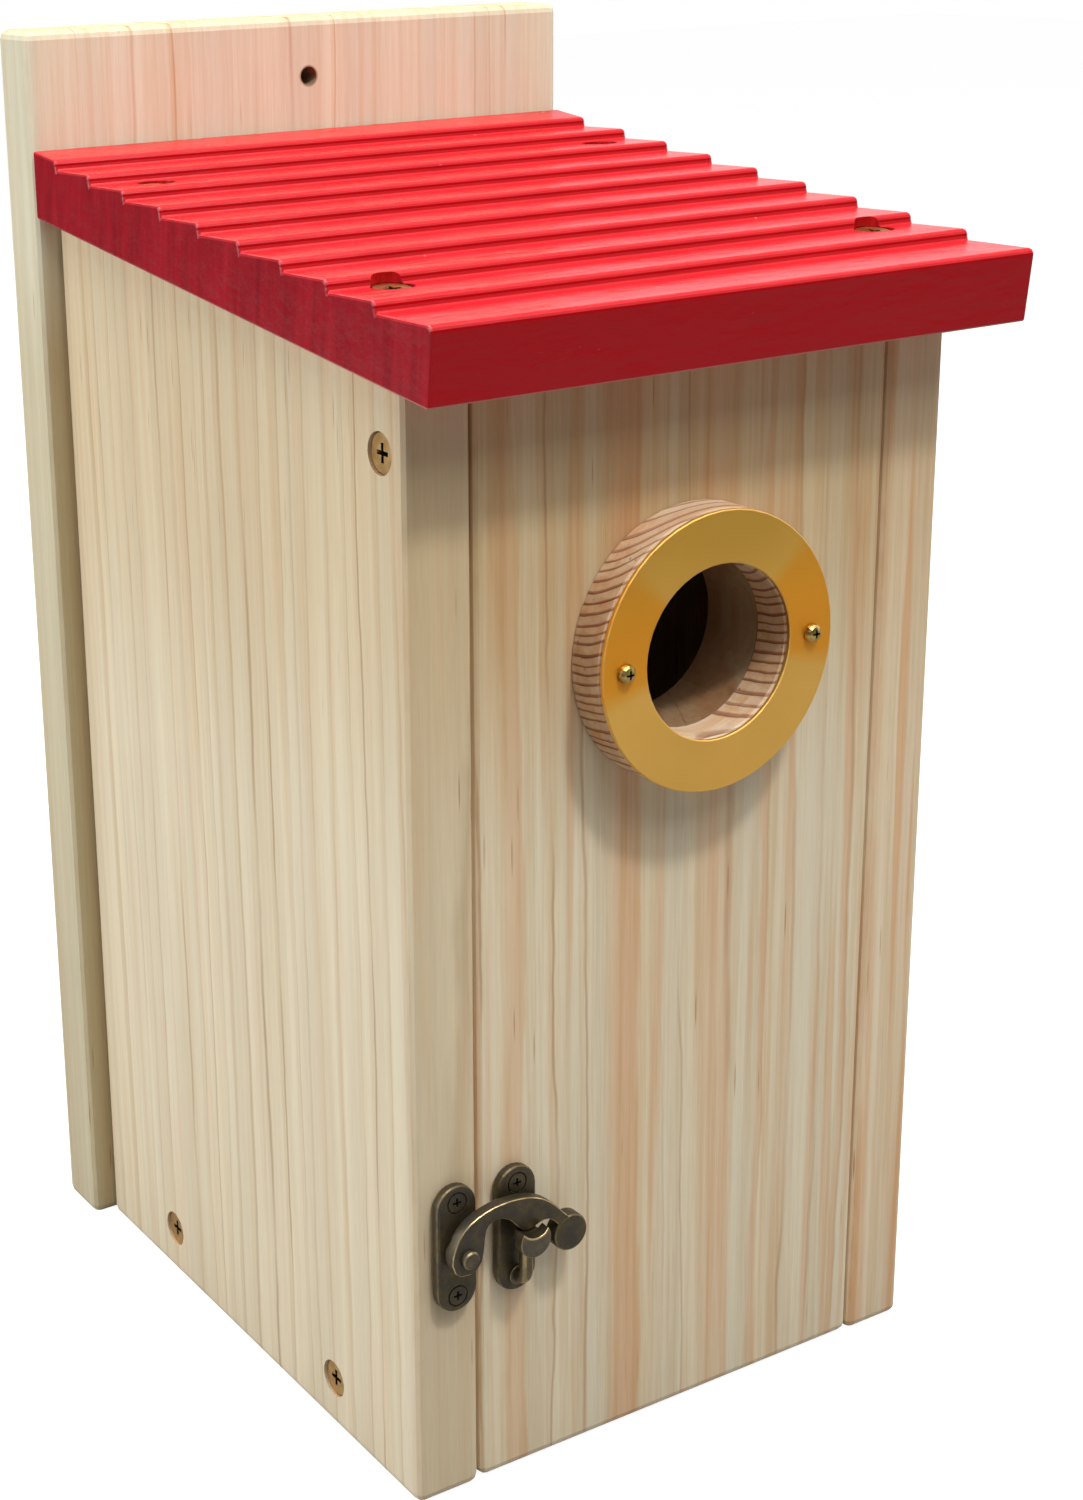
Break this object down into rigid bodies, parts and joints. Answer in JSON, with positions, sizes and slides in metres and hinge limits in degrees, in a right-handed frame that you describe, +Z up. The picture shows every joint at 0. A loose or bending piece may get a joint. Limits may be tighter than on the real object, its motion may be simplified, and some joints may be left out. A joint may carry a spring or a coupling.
{
  "type": "bird nest box",
  "caption": "Wooden nest box for small birds on a back board, with a ribbed sloping roof, a round guarded entrance and a front that swings open, held shut by a swing latch.",
  "frame": {"origin": "middle of the bounding box in X and Y, at the bottom edge of the boards", "axes": "+Z up, the door faces -Y, the back board is on the +Y side, +X to the right seen from the front"},
  "size_m": [0.14, 0.1724, 0.2855],
  "materials": {
    "pine": "bare sanded pine, matt",
    "red_painted_pine": "glossy red paint on pine",
    "satin_brass": "satin brass sheet",
    "yellow_zinc": "yellow zinc plated steel",
    "antique_bronze": "dark antique bronze, rubbed bright on the edges"
  },
  "bodies": {
    "box": {"back_board": "pine", "left_side_panel": "pine", "right_side_panel": "pine", "floor_board": "pine", "roof_board": "red_painted_pine", "roof_screw_left_front": "yellow_zinc", "floor_screw_left_front": "yellow_zinc", "roof_screw_left_rear": "yellow_zinc", "floor_screw_left_rear": "yellow_zinc", "back_screw_left_low": "yellow_zinc", "back_screw_left_high": "yellow_zinc", "roof_screw_right_front": "yellow_zinc", "floor_screw_right_front": "yellow_zinc", "roof_screw_right_rear": "yellow_zinc", "floor_screw_right_rear": "yellow_zinc", "back_screw_right_low": "yellow_zinc", "back_screw_right_high": "yellow_zinc", "latch_base_plate": "antique_bronze", "latch_base_screw_upper": "antique_bronze", "latch_base_screw_lower": "antique_bronze", "latch_rivet": "antique_bronze"},
    "door": {"front_door": "pine", "entrance_ring": "pine", "entrance_guard": "satin_brass", "guard_screw_left": "yellow_zinc", "guard_screw_right": "yellow_zinc", "door_pivot_screw_left": "yellow_zinc", "door_pivot_screw_right": "yellow_zinc", "catch_plate": "antique_bronze", "catch_screw": "antique_bronze", "catch_post": "antique_bronze"},
    "latch_arm": {"latch_arm": "antique_bronze"}
  },
  "joints": [
    {"name": "door_hinge", "type": "hinge", "parent": "box", "child": "door", "pos_m": [0, -0.06128, 0.2166], "axis": [-1, 0, 0], "range_deg": [0, 72]},
    {"name": "latch_hinge", "type": "hinge", "parent": "box", "child": "latch_arm", "pos_m": [-0.0568, -0.07358, 0.0577], "axis": [0, -1, 0], "range_deg": [0, 270]}
  ]
}
